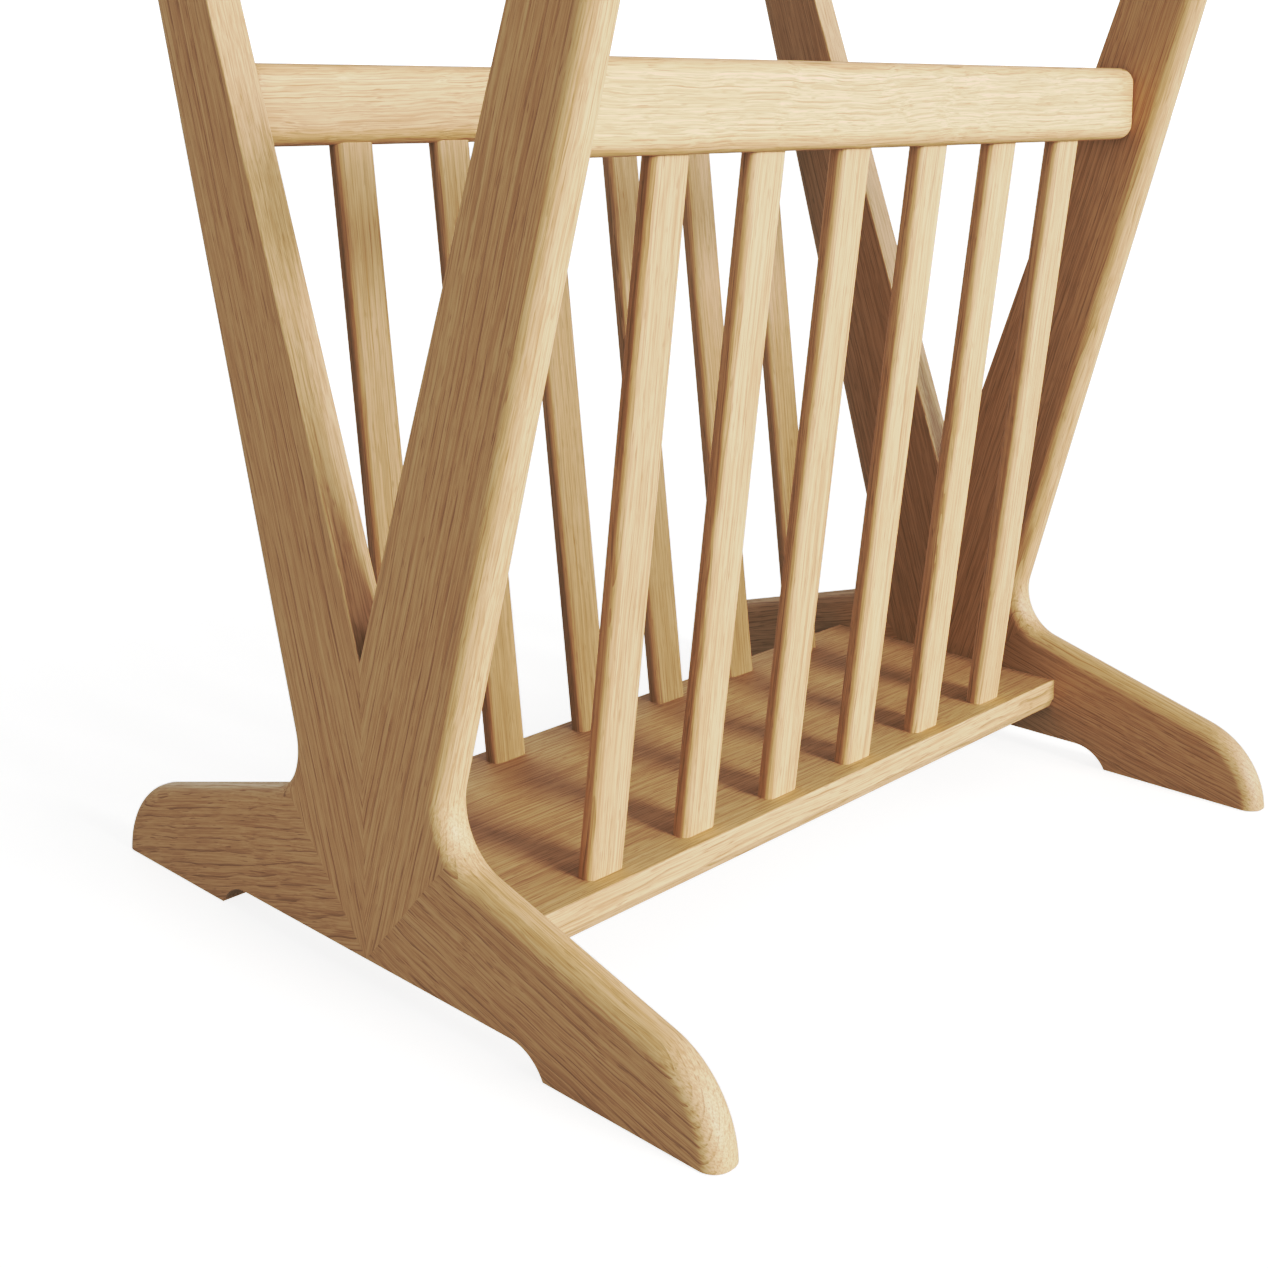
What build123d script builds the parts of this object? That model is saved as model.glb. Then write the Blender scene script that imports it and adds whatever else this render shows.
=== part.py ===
from build123d import *
import os

# Magazine rack in solid oak, all glued joinery, nothing moves.
# Frame: origin on the floor under the middle of the rack, +X along its length,
# -Y the front, +Z up. Millimetres.

# ---- driving dimensions ----
rack_length = 458.0          # outside face to outside face of the end frames
frame_stock = 18.0           # thickness of the end frames
rack_height = 480.0          # floor to the tips of the arms

# end frame outline, half of it: y is the distance from the middle plane
crotch_height = 145.0        # bottom of the V between the two arms
inner_slope = 0.3546         # the inside edge of an arm leans out this much per unit of height
outer_base = 24.9            # where the outside edge of an arm would meet the floor
outer_slope = 0.2824         # the outside edge leans less, so the arm tapers upwards
tip_radius = 24.0            # outer corner of the arm's tip
foot_top_y = 84.6            # a point on the sloping top of the foot
foot_top_z = 64.5
foot_top_fall = 0.284        # the foot's top falls this much per unit outwards
foot_reach = 201.2           # middle plane to the very end of the toe
toe_radius = 45.0            # curve of the toe, from the foot's top to the floor
armpit_radius = 25.5         # hollow between arm and foot
under_height = 11.0          # the frame is lifted this far between its soles
notch_y = 93.0               # where the underside begins to curve down to the sole
notch_radius = 21.0
edge_round = 8.3             # round of the outer edges, nearly a half round
arris = 0.8                  # inner edges are only eased

# joint between arm and foot: a straight line from the underside at the middle
seam_slope = 1.10
tenon_y = 39.0               # middle of the loose tenon, on the seam
tenon_thick = 6.0
tenon_wide = 26.0
tenon_long = 36.0
spline_thick = 5.0           # loose tongue that locks the two arms together
spline_wide = 22.0
spline_bottom = 74.0
spline_top = 124.0

# bottom board
board_top = 45.4
board_bottom = 29.2
board_half = 78.0
bevel_in = 2.5               # the slight bevel under each long edge, inwards and upwards
bevel_up = 5.0
board_dowel_y = (30.0, 62.0)
board_dowel_z = 37.2
dowel_radius = 4.0
dowel_in_frame = 11.0
dowel_in_board = 22.0

# upper side rails
rail_top = 396.4
rail_bottom = 358.4
rail_outer = 115.7
rail_inner = 94.1
rail_round = 8.2
rail_dowel_radius = 3.5
rail_dowel_z = (370.2, 383.9)
rail_dowel_in_rail = 20.0

# spindles, six on each side
spindle_count = 6
spindle_pitch = 61.0         # the same gap between all of them
spindle_shift = 2.6          # both rows stand this much nearer the right end
spindle_wide = 22.2          # along the rack
spindle_deep = 9.8
spindle_round = 4.0
spindle_foot_y = 64.6        # centre line at the top of the board
spindle_lean = 0.121         # outwards per unit of height
tenon_radius = 4.0
tenon_in_board = 12.0
tenon_in_rail = 16.0

# ---- derived sizes ----
half_length = rack_length / 2
inner_face = half_length - frame_stock
frame_middle = half_length - frame_stock / 2
rail_centre = (rail_outer + rail_inner) / 2
rail_middle = (rail_top + rail_bottom) / 2
big = 700.0


def outline_points():
    """Corners of half of an end frame, from the V up the arm, down to the toe and below the floor."""
    inner_tip_y = inner_slope * (rack_height - crotch_height)
    tip_run = outer_base + outer_slope * rack_height - inner_tip_y
    tip_run = tip_run / (1 + outer_slope * inner_slope)
    outer_tip = (inner_tip_y + tip_run, rack_height - inner_slope * tip_run)
    foot_level = foot_top_z + foot_top_fall * foot_top_y
    armpit_z = (foot_level - foot_top_fall * outer_base) / (1 + foot_top_fall * outer_slope)
    armpit = (outer_base + outer_slope * armpit_z, armpit_z)
    toe = (foot_reach, foot_level - foot_top_fall * foot_reach)
    return [(0, crotch_height), (inner_tip_y, rack_height), outer_tip, armpit, toe, (foot_reach, -60)]


def frame_plate():
    """One end frame as a single rounded plate in the YZ plane, centred on x = 0."""
    half = outline_points()
    corners = half + [(-y, z) for y, z in reversed(half[1:])]
    outline = make_face(Polyline(*corners, close=True))
    for corner, radius in zip(half[2:5], (tip_radius, armpit_radius, toe_radius)):
        for side in (1, -1):
            place = Vector(side * corner[0], corner[1], 0)
            outline = fillet(outline.vertices().sort_by_distance(place)[0], radius)
    outline -= Pos(0, -50) * Rectangle(3 * foot_reach, 100)
    outline -= Pos(0, under_height - 50) * Rectangle(2 * notch_y, 100)
    for side in (1, -1):
        outline -= Pos(side * notch_y, under_height - notch_radius) * Circle(notch_radius)
    plate = extrude(Plane.YZ * outline, frame_stock / 2, both=True)
    rounded = []
    for edge in plate.edges():
        middle = edge @ 0.5
        flat = abs(abs(middle.X) - frame_stock / 2) < 0.01
        outside = abs(middle.Y) > inner_slope * (middle.Z - crotch_height) + 5
        if flat and outside and middle.Z > under_height + 1:
            rounded.append(edge)
    return fillet(rounded, edge_round)


def region(*corners):
    """Prism through the whole thickness of a frame, from corners (y, z)."""
    face = make_face(Polyline(*corners, close=True))
    return extrude(Plane.YZ * face, frame_stock, both=True)


def seam_frame(side):
    """Plane on the seam of one foot: local x through the thickness, local z across the seam."""
    centre = (0, side * tenon_y, under_height + seam_slope * tenon_y)
    across = (0, -side * seam_slope, 1)
    return Plane(origin=centre, x_dir=(1, 0, 0), z_dir=across)


def loose_tenon(side):
    """Flat tongue with half-round edges, half in the arm and half in the foot."""
    section = RectangleRounded(tenon_thick, tenon_wide, tenon_thick / 2 - 0.05)
    return seam_frame(side) * extrude(section, tenon_long / 2, both=True)


def mitre_spline():
    """Loose tongue across the joint between the two arms."""
    height = spline_top - spline_bottom
    return Pos(0, 0, spline_bottom + height / 2) * Box(spline_thick, spline_wide, height)


def dowel(radius, x_start, x_end, y, z):
    """Round pin along X."""
    pin = Cylinder(radius, x_end - x_start)
    return Pos((x_start + x_end) / 2, y, z) * Rot(0, 90, 0) * pin


def ease(piece, wanted, size=arris):
    """Ease the edges whose midpoint passes the given test."""
    return fillet([edge for edge in piece.edges() if wanted(edge @ 0.5)], size)


def on_inner_edge(point, side):
    """Whether a point lies on the edge of an arm that faces the V, on one of the plate's two faces."""
    edge_y = side * inner_slope * (point.Z - crotch_height)
    return abs(point.X) > frame_stock / 2 - 0.1 and abs(point.Y - edge_y) < 0.5


def frame_pieces():
    """The four boards of one end frame, around x = 0, with their mortises cut."""
    plate = frame_plate()
    seam_end = (big, under_height + seam_slope * big)
    pieces = {}
    for name, side in (("front", -1), ("rear", 1)):
        above = [(0, under_height), (side * seam_end[0], seam_end[1]), (0, seam_end[1])]
        below = [(0, under_height), (side * seam_end[0], seam_end[1]), (side * seam_end[0], -50), (0, -50)]
        arm = plate & region(*above)
        arm = ease(arm, lambda m: on_inner_edge(m, side))
        foot = plate & region(*below)
        tenon = loose_tenon(side)
        pieces[name + "_arm"] = arm - tenon - mitre_spline()
        pieces[name + "_foot"] = foot - tenon
    return pieces


def rail(side):
    """Upper side rail before its mortises, all its edges well rounded."""
    block = Box(2 * inner_face, rail_outer - rail_inner, rail_top - rail_bottom)
    block = fillet(block.edges(), rail_round)
    return Pos(0, side * rail_centre, rail_middle) * block


def board():
    """Bottom board before its mortises, slightly bevelled below along both long edges."""
    section = Polyline(
        (-board_half, board_top),
        (board_half, board_top),
        (board_half, board_bottom + bevel_up),
        (board_half - bevel_in, board_bottom),
        (-board_half + bevel_in, board_bottom),
        (-board_half, board_bottom + bevel_up),
        close=True,
    )
    blank = extrude(Plane.YZ * make_face(section), inner_face, both=True)
    return ease(blank, lambda m: abs(m.X) < 1 and m.Z > board_bottom + 1, 1.0)


def spindle_axis(x, side):
    """Leaning axis of a spindle: local z runs up the spindle from the top of the board."""
    foot = (x, side * spindle_foot_y, board_top)
    return Plane(origin=foot, x_dir=(1, 0, 0), z_dir=(0, side * spindle_lean, 1))


def spindle(x, side):
    """Shouldered spindle: body scribed to the board and to the rail, a round tenon at each end."""
    axis = spindle_axis(x, side)
    section = RectangleRounded(spindle_wide, spindle_deep, spindle_round)
    stretch = rail_middle - board_top
    body = axis * Pos(0, 0, -20) * extrude(section, stretch + 20)
    body -= Pos(x, side * spindle_foot_y, board_top - 50) * Box(60, 60, 100)
    body -= rail(side)
    return body + tenons(x, side)


def tenons(x, side):
    """Both round tenons of a spindle as one rod on its axis."""
    low = -tenon_in_board
    high = rail_bottom - board_top + tenon_in_rail
    return spindle_axis(x, side) * Pos(0, 0, low) * extrude(Circle(tenon_radius), high - low)


def spindle_x(number):
    """Middle of a spindle along the rack, counted from the left."""
    return spindle_shift + (number - (spindle_count + 1) / 2) * spindle_pitch


def board_dowels(end):
    """Four dowels between the board and one end frame."""
    pins = []
    for side in (-1, 1):
        for y in board_dowel_y:
            reach = sorted((end * (inner_face - dowel_in_board), end * (inner_face + dowel_in_frame)))
            pins.append(dowel(dowel_radius, reach[0], reach[1], side * y, board_dowel_z))
    return pins


def rail_dowels(end, side):
    """Two dowels between a rail and one end frame."""
    pins = []
    for z in rail_dowel_z:
        reach = sorted((end * (inner_face - rail_dowel_in_rail), end * (inner_face + dowel_in_frame)))
        pins.append(dowel(rail_dowel_radius, reach[0], reach[1], side * rail_centre, z))
    return pins


def cut(piece, tools):
    """Take every tool out of a piece."""
    for tool in tools:
        piece = piece - tool
    return piece


def save(name, shapes):
    """Write one node: a single solid, or a group of separate solids."""
    solids = [solid for shape in shapes for solid in shape.solids()]
    shape = solids[0] if len(solids) == 1 else Compound(children=solids)
    shape.label = name
    export_step(shape, "parts/" + name + ".step")


os.makedirs("parts", exist_ok=True)

sides = {"front": -1, "rear": 1}
ends = {"left": -1, "right": 1}

# end frames
pieces = frame_pieces()
for end_name, end in ends.items():
    place = Pos(end * frame_middle, 0, 0)
    pins = board_dowels(end)
    for side in sides.values():
        pins += rail_dowels(end, side)
    for name, piece in pieces.items():
        save(end_name + "_" + name, [cut(place * piece, pins)])
    save(end_name + "_mitre_spline", [place * mitre_spline()])
    save(end_name + "_foot_tenons", [place * loose_tenon(side) for side in sides.values()])
    save(end_name + "_board_dowels", board_dowels(end))

# spindles and the rail above them
bottom_tools = board_dowels(-1) + board_dowels(1)
for side_name, side in sides.items():
    rods = [tenons(spindle_x(number), side) for number in range(1, spindle_count + 1)]
    pins = rail_dowels(-1, side) + rail_dowels(1, side)
    bottom_tools += rods
    for number in range(1, spindle_count + 1):
        save(side_name + "_spindle_" + str(number), [spindle(spindle_x(number), side)])
    save(side_name + "_rail", [cut(rail(side), rods + pins)])
    save(side_name + "_rail_dowels", pins)

# bottom board
save("bottom_board", [cut(board(), bottom_tools)])
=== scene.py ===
import bpy
import math
import random
from mathutils import Matrix, Vector

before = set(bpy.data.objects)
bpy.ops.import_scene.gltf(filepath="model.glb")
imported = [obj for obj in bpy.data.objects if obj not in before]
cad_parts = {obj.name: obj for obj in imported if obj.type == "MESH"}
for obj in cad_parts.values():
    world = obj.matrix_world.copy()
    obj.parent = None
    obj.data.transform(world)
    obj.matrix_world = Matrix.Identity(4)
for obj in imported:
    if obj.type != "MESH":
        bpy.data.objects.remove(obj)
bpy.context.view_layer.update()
scene = bpy.context.scene
random.seed(12)

SIDES = (("front", -1), ("rear", 1))
SPINDLES = 6

# Grain directions in the row frame follow the slopes of the boards themselves.
ARM_SLOPE = 0.3185           # outwards per unit of height
FOOT_FALL = 0.284            # downwards per unit outwards
SPINDLE_LEAN = 0.121         # outwards per unit of height
ALONG_BOARD = (1, 0.01, 0)
ALONG_RAIL = (1, 0, 0.01)

# Oak colours, linear.
BODY = (0.535, 0.358, 0.207)
PALE = (0.610, 0.428, 0.262)
WARM = (0.395, 0.240, 0.126)
VEIN = (0.230, 0.136, 0.066)

# Grain: how many features per metre along the board, and across it both ways.
SWEEP = (4.0, 11.0, 11.0)
SWEEP_REACH = 0.007
RIPPLE = (38.0, 60.0, 60.0)
RIPPLE_REACH = 0.0011
FINE_FIBRE = (17.0, 1350.0, 1350.0)
COARSE_FIBRE = (5.0, 420.0, 420.0)
CLOUD = (4.0, 30.0, 30.0)
PORE_DASH = (36.0, 800.0, 800.0)
PORE_SPECK = (110.0, 1700.0, 1700.0)
RING_SCALE = 128.0           # growth rings about 2.5 mm apart
RING_STRETCH = (0.06, 1.0, 1.0)

# How light or dark each board is. The right end frame is made darker as painted shade, standing in for the
# shade on its inner faces, most of all on its rear arm; the left frame's values are the wood's own tone.
ARM_TONE_AND_SHADE = {"left_front": 0.95, "left_rear": 0.94, "right_front": 0.84, "right_rear": 0.74}
FOOT_TONE_AND_SHADE = {"left_front": 0.92, "left_rear": 0.92, "right_front": 0.79, "right_rear": 0.83}
# The rear rail and rear spindles are made darker as painted shade, standing in for the shade cast by the
# front rail and front spindles; the front values are the wood's own tone.
RAIL_TONE_AND_SHADE = {"front": 1.0, "rear": 0.95}
SPINDLE_TONE_AND_SHADE = {"front": 0.89, "rear": 0.79}
BOARD_TONE = 0.87

# Studio.
FLOOR_HALF = 30.0
FLOOR_DROP = 0.0004          # keeps the floor just under the soles
FLOOR_GREY = 0.33
STUDIO_AIM = (0.0, 0.0, 0.2)


# ---------------------------------------------------------------- node helpers
def add(nt, kind, **values):
    """New node; keyword arguments are node properties."""
    node = nt.nodes.new(kind)
    for key, value in values.items():
        setattr(node, key, value)
    return node


def link(nt, out, into):
    nt.links.new(out, into)


def scaled(nt, vector, factors):
    """Vector times a constant vector."""
    node = add(nt, "ShaderNodeVectorMath", operation="MULTIPLY")
    link(nt, vector, node.inputs[0])
    node.inputs[1].default_value = factors
    return node.outputs[0]


def added(nt, a, b):
    """Sum of two vectors."""
    node = add(nt, "ShaderNodeVectorMath", operation="ADD")
    link(nt, a, node.inputs[0])
    link(nt, b, node.inputs[1])
    return node.outputs[0]


def noise(nt, space, density, detail, rough):
    """Noise with the given number of features per metre along the grain and across it."""
    node = add(nt, "ShaderNodeTexNoise")
    link(nt, scaled(nt, space, density), node.inputs["Vector"])
    node.inputs["Scale"].default_value = 1.0
    node.inputs["Detail"].default_value = detail
    node.inputs["Roughness"].default_value = rough
    return node.outputs["Fac"]


def remap(nt, value, low, high, to_low=0.0, to_high=1.0, smooth=True):
    """Value from the range low..high to the range to_low..to_high, clamped."""
    node = add(nt, "ShaderNodeMapRange", interpolation_type="SMOOTHSTEP" if smooth else "LINEAR")
    link(nt, value, node.inputs["Value"])
    for name, number in zip(("From Min", "From Max", "To Min", "To Max"), (low, high, to_low, to_high)):
        node.inputs[name].default_value = number
    return node.outputs["Result"]


def math_node(nt, operation, a, b):
    """a and b are sockets or numbers."""
    node = add(nt, "ShaderNodeMath", operation=operation)
    for socket, value in zip(node.inputs, (a, b)):
        if isinstance(value, (int, float)):
            socket.default_value = value
        else:
            link(nt, value, socket)
    return node.outputs[0]


def mix(nt, factor, a, b):
    """Colour between a and b; factor is a socket, a and b are sockets or colours."""
    node = add(nt, "ShaderNodeMix", data_type="RGBA")
    link(nt, factor, node.inputs[0])
    for socket, value in zip((node.inputs[6], node.inputs[7]), (a, b)):
        if isinstance(value, tuple):
            socket.default_value = (*value, 1.0)
        else:
            link(nt, value, socket)
    return node.outputs[2]


# ---------------------------------------------------------------- wood
def grain_space(nt, direction, offset):
    """Row-frame coordinates turned so that local X runs along the grain, and moved by offset."""
    along = Vector(direction).normalized()
    helper = Vector((1, 0, 0)) if abs(along.x) < 0.9 else Vector((0, 0, 1))
    side = along.cross(helper).normalized()
    up = along.cross(side)
    coords = add(nt, "ShaderNodeTexCoord")
    mapping = add(nt, "ShaderNodeMapping")
    link(nt, coords.outputs["Object"], mapping.inputs["Vector"])
    mapping.inputs["Rotation"].default_value = Matrix((along, side, up)).to_euler()
    mapping.inputs["Location"].default_value = offset
    return mapping.outputs[0]


def wander(nt, space, density, reach):
    """A smooth random push across the grain, at most about half of reach, in metres."""
    field = add(nt, "ShaderNodeTexNoise")
    link(nt, scaled(nt, space, density), field.inputs["Vector"])
    field.inputs["Scale"].default_value = 1.0
    field.inputs["Detail"].default_value = 1.0
    centred = add(nt, "ShaderNodeVectorMath", operation="SUBTRACT")
    link(nt, field.outputs["Color"], centred.inputs[0])
    centred.inputs[1].default_value = (0.5, 0.5, 0.5)
    return scaled(nt, centred.outputs[0], (0.0, reach, reach))


def growth_rings(nt, space):
    """Sawtooth across each year's growth: 0 where the early wood begins, 1 at the end of the late wood."""
    rings = add(nt, "ShaderNodeTexWave", wave_type="RINGS", rings_direction="X", wave_profile="SAW")
    link(nt, scaled(nt, space, RING_STRETCH), rings.inputs["Vector"])
    rings.inputs["Scale"].default_value = RING_SCALE
    rings.inputs["Distortion"].default_value = 5.0
    rings.inputs["Detail"].default_value = 2.0
    rings.inputs["Detail Scale"].default_value = 0.3
    return rings.outputs["Fac"]


def long_fibres(nt, space):
    """Fine fibres with a share of coarser ones."""
    fine = noise(nt, space, FINE_FIBRE, 3.0, 0.75)
    coarse = noise(nt, space, COARSE_FIBRE, 2.0, 0.6)
    fine_share = math_node(nt, "MULTIPLY", fine, 0.75)
    coarse_share = math_node(nt, "MULTIPLY", coarse, 0.25)
    return math_node(nt, "ADD", fine_share, coarse_share)


def open_pores(nt, space, ring):
    """Dashed lines of pores along the early wood of each ring, and short specks between them."""
    early = remap(nt, ring, 0.0, 0.26, 1.0, 0.0)
    dash = remap(nt, noise(nt, space, PORE_DASH, 1.0, 0.6), 0.40, 0.60)
    rows = math_node(nt, "MULTIPLY", early, dash)
    specks = remap(nt, noise(nt, space, PORE_SPECK, 0.0, 0.5), 0.68, 0.82, 0.0, 0.8)
    return math_node(nt, "MAXIMUM", rows, specks)


def wood_colour(nt, space, ring, fibre, pores, tone, pore):
    """Body colour with slow pale clouds, dark and pale fibres, paler late wood and dark pores."""
    body, pale, warm, vein = (tuple(part * tone for part in colour) for colour in (BODY, PALE, WARM, VEIN))
    cloud = noise(nt, space, CLOUD, 2.0, 0.5)
    colour = mix(nt, remap(nt, cloud, 0.30, 0.70, 0.0, 0.35), body, pale)
    colour = mix(nt, remap(nt, fibre, 0.44, 0.62, 0.0, 0.80), colour, warm)
    colour = mix(nt, remap(nt, fibre, 0.36, 0.50, 0.70, 0.0), colour, pale)
    colour = mix(nt, remap(nt, ring, 0.3, 1.0, 0.0, 0.22, False), colour, pale)
    return mix(nt, math_node(nt, "MULTIPLY", pores, 0.64 * pore), colour, vein)


def oak(name, direction, tone=1.0, heart=0.0, away=0.13, wave=1.0, pore=1.0):
    """Oiled oak in three dimensions, with its grain along direction.

    tone lightens or darkens it. heart, an angle in radians across the grain, and away, in metres,
    say where the middle of the tree was. wave is how much the grain wanders, pore how dark its pores are.
    """
    mat = bpy.data.materials.new(name)
    mat.use_nodes = True
    nt = mat.node_tree
    shader = nt.nodes["Principled BSDF"]

    offset = (random.uniform(-3, 3), away * math.cos(heart), away * math.sin(heart))
    straight = grain_space(nt, direction, offset)
    sweep = wander(nt, straight, SWEEP, SWEEP_REACH * wave)
    ripple = wander(nt, straight, RIPPLE, RIPPLE_REACH * wave)
    space = added(nt, added(nt, straight, sweep), ripple)

    ring = growth_rings(nt, space)
    fibre = long_fibres(nt, space)
    pores = open_pores(nt, space, ring)
    link(nt, wood_colour(nt, space, ring, fibre, pores, tone, pore), shader.inputs["Base Color"])

    # satin oil: a little duller in the dark fibres and the pores
    dull = remap(nt, fibre, 0.2, 0.8, 0.47, 0.56)
    dull = math_node(nt, "ADD", dull, math_node(nt, "MULTIPLY", pores, 0.16))
    link(nt, dull, shader.inputs["Roughness"])
    shader.inputs["Specular IOR Level"].default_value = 0.32

    # the pores are open, and the fibres stand up slightly
    height = math_node(nt, "MULTIPLY", pores, -1.0)
    height = math_node(nt, "ADD", height, math_node(nt, "MULTIPLY", fibre, 0.30))
    bump = add(nt, "ShaderNodeBump")
    bump.inputs["Strength"].default_value = 0.25
    bump.inputs["Distance"].default_value = 0.0001
    link(nt, height, bump.inputs["Height"])
    link(nt, bump.outputs[0], shader.inputs["Normal"])
    return mat


def beech(name, direction):
    """Plainer, paler wood of the dowels, tenons and splines."""
    return oak(name, direction, tone=1.1, wave=0.5, pore=0.3)


def dress(node, material):
    """Give a CAD node its material in every slot."""
    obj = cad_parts[node]
    if not obj.material_slots:
        obj.data.materials.append(material)
    for slot in obj.material_slots:
        slot.material = material


def dress_end_frame(end):
    """Arms with the grain up the arm, feet with the grain out along the foot, and the joinery."""
    for side, sign in SIDES:
        name = end + "_" + side
        arm_grain = (0, sign * ARM_SLOPE, 1)
        # the right frame's arms and feet come out darker here: painted shade on their inner faces
        arm = oak(name + "_arm_oak", arm_grain, ARM_TONE_AND_SHADE[name], heart=0.5, away=0.16, wave=0.8, pore=0.85)
        dress(name + "_arm", arm)
        foot_grain = (0, sign, -FOOT_FALL)
        heart = 0.8 if side == "front" else math.pi - 0.8
        foot = oak(name + "_foot_oak", foot_grain, FOOT_TONE_AND_SHADE[name], heart, wave=1.8, pore=0.95)
        dress(name + "_foot", foot)
    dress(end + "_mitre_spline", beech(end + "_spline_beech", (0, 0, 1)))
    dress(end + "_foot_tenons", beech(end + "_tenon_beech", (0, 0.6, 0.8)))
    dress(end + "_board_dowels", beech(end + "_dowel_beech", (1, 0, 0)))


def dress_side(side, sign):
    """Rail, its dowels, and six spindles that all differ a little."""
    # the rear rail comes out darker here: painted shade from the front rail
    rail = oak(side + "_rail_oak", ALONG_RAIL, RAIL_TONE_AND_SHADE[side], heart=1.1, away=0.12, wave=2.5, pore=0.9)
    dress(side + "_rail", rail)
    dress(side + "_rail_dowels", beech(side + "_rail_dowel_beech", (1, 0, 0)))
    for number in range(1, SPINDLES + 1):
        name = side + "_spindle_" + str(number)
        # the rear spindles start darker here: painted shade from the front row
        tone = SPINDLE_TONE_AND_SHADE[side] + random.uniform(-0.03, 0.03)
        heart = random.uniform(0, 6.2)
        grain = (0, sign * SPINDLE_LEAN, 1)
        dress(name, oak(name + "_oak", grain, tone, heart, away=0.12, wave=0.8, pore=0.85))


def dress_board():
    board = oak("board_oak", ALONG_BOARD, BOARD_TONE, heart=0.5, away=0.30, wave=1.3, pore=0.95)
    dress("bottom_board", board)


# ---------------------------------------------------------------- floor and light
def floor_paint():
    """White studio paint that the camera sees almost white near the object and white further off."""
    mat = bpy.data.materials.new("studio_floor_paint")
    mat.use_nodes = True
    nt = mat.node_tree
    nt.nodes.clear()
    out = add(nt, "ShaderNodeOutputMaterial")
    paint = add(nt, "ShaderNodeBsdfDiffuse")
    paint.inputs["Color"].default_value = (FLOOR_GREY, FLOOR_GREY, FLOOR_GREY, 1)
    glow = add(nt, "ShaderNodeEmission")
    path = add(nt, "ShaderNodeLightPath")
    coords = add(nt, "ShaderNodeTexCoord")
    reach = add(nt, "ShaderNodeVectorMath", operation="LENGTH")
    link(nt, coords.outputs["Object"], reach.inputs[0])
    bright = remap(nt, reach.outputs["Value"], 0.35, 1.6, 0.76, 0.95)
    seen = math_node(nt, "MULTIPLY", path.outputs["Is Camera Ray"], bright)
    link(nt, math_node(nt, "ADD", seen, 0.08), glow.inputs["Strength"])
    both = add(nt, "ShaderNodeAddShader")
    link(nt, paint.outputs[0], both.inputs[0])
    link(nt, glow.outputs[0], both.inputs[1])
    link(nt, both.outputs[0], out.inputs["Surface"])
    return mat


def stage_floor():
    """Plain pale floor."""
    mesh = bpy.data.meshes.new("studio_floor")
    corners = [(x * FLOOR_HALF, y * FLOOR_HALF, -FLOOR_DROP) for x, y in ((-1, -1), (1, -1), (1, 1), (-1, 1))]
    mesh.from_pydata(corners, [], [(0, 1, 2, 3)])
    mesh.materials.append(floor_paint())
    floor = bpy.data.objects.new("studio_floor", mesh)
    scene.collection.objects.link(floor)


def room():
    """Pale room, darker overhead, that the camera sees as white."""
    world = bpy.data.worlds.new("studio")
    scene.world = world
    world.use_nodes = True
    nt = world.node_tree
    nt.nodes.clear()
    out = add(nt, "ShaderNodeOutputWorld")
    back = add(nt, "ShaderNodeBackground")
    back.inputs["Color"].default_value = (1, 1, 1, 1)
    path = add(nt, "ShaderNodeLightPath")
    coords = add(nt, "ShaderNodeTexCoord")
    parts = add(nt, "ShaderNodeSeparateXYZ")
    link(nt, coords.outputs["Generated"], parts.inputs[0])
    ambient = remap(nt, parts.outputs["Z"], 0.0, 1.0, 0.42, 0.16, False)
    seen = math_node(nt, "MULTIPLY", path.outputs["Is Camera Ray"], 1.2)
    link(nt, math_node(nt, "ADD", ambient, seen), back.inputs["Strength"])
    link(nt, back.outputs[0], out.inputs["Surface"])


def softbox(name, place, size, power, colour=(1, 1, 1)):
    """Rectangular area light aimed at the lower middle of the object; power in watts."""
    data = bpy.data.lights.new(name, "AREA")
    data.shape = "RECTANGLE"
    data.size, data.size_y = size
    data.energy = power
    data.color = colour
    lamp = bpy.data.objects.new(name, data)
    scene.collection.objects.link(lamp)
    lamp.location = place
    lamp.rotation_mode = "QUATERNION"
    lamp.rotation_quaternion = (Vector(STUDIO_AIM) - Vector(place)).to_track_quat("-Z", "Y")


def studio_lights():
    """Low frontal key, and three weak lights: from the right, from behind and from the left."""
    softbox("key", (0.35, -5.95, 1.72), (2.0, 2.2), 372.0, (1.0, 0.992, 0.975))
    softbox("side", (4.6, -3.6, 1.7), (2.6, 2.2), 90.0)
    softbox("back", (1.5, 5.2, 2.4), (3.0, 2.2), 48.0)
    softbox("fill", (-3.2, -0.9, 0.9), (2.5, 1.6), 12.2)


def tone_curve():
    """Neutral display with a gentle shoulder, as studio product pictures have."""
    view = scene.view_settings
    view.view_transform = "Standard"
    view.look = "None"
    view.exposure = 0.0
    view.gamma = 1.0
    view.use_curve_mapping = True
    combined = view.curve_mapping.curves[3]
    for x, y in ((0.083, 0.080), (0.133, 0.171), (0.2, 0.316), (0.333, 0.503), (0.533, 0.708), (0.8, 0.83)):
        combined.points.new(x, y)
    view.curve_mapping.update()


# ---------------------------------------------------------------- camera
def camera(place, heading, pitch, focal, shift_y):
    """Camera at the photograph's viewpoint: heading from +X and pitch in degrees, focal length in mm."""
    data = bpy.data.cameras.new("camera")
    data.sensor_fit = "HORIZONTAL"
    data.sensor_width = 36.0
    data.lens = focal
    data.shift_y = shift_y
    data.clip_start = 0.01
    data.clip_end = 200.0
    eye = bpy.data.objects.new("camera", data)
    scene.collection.objects.link(eye)
    eye.location = place
    eye.rotation_euler = (math.radians(90 + pitch), 0, math.radians(heading - 90))
    scene.camera = eye


for end in ("left", "right"):
    dress_end_frame(end)
for side, sign in SIDES:
    dress_side(side, sign)
dress_board()

stage_floor()
room()
studio_lights()
tone_curve()
camera((-0.6570, -0.5711, 0.3809), 43.78, -8.31, 49.09, -0.224)
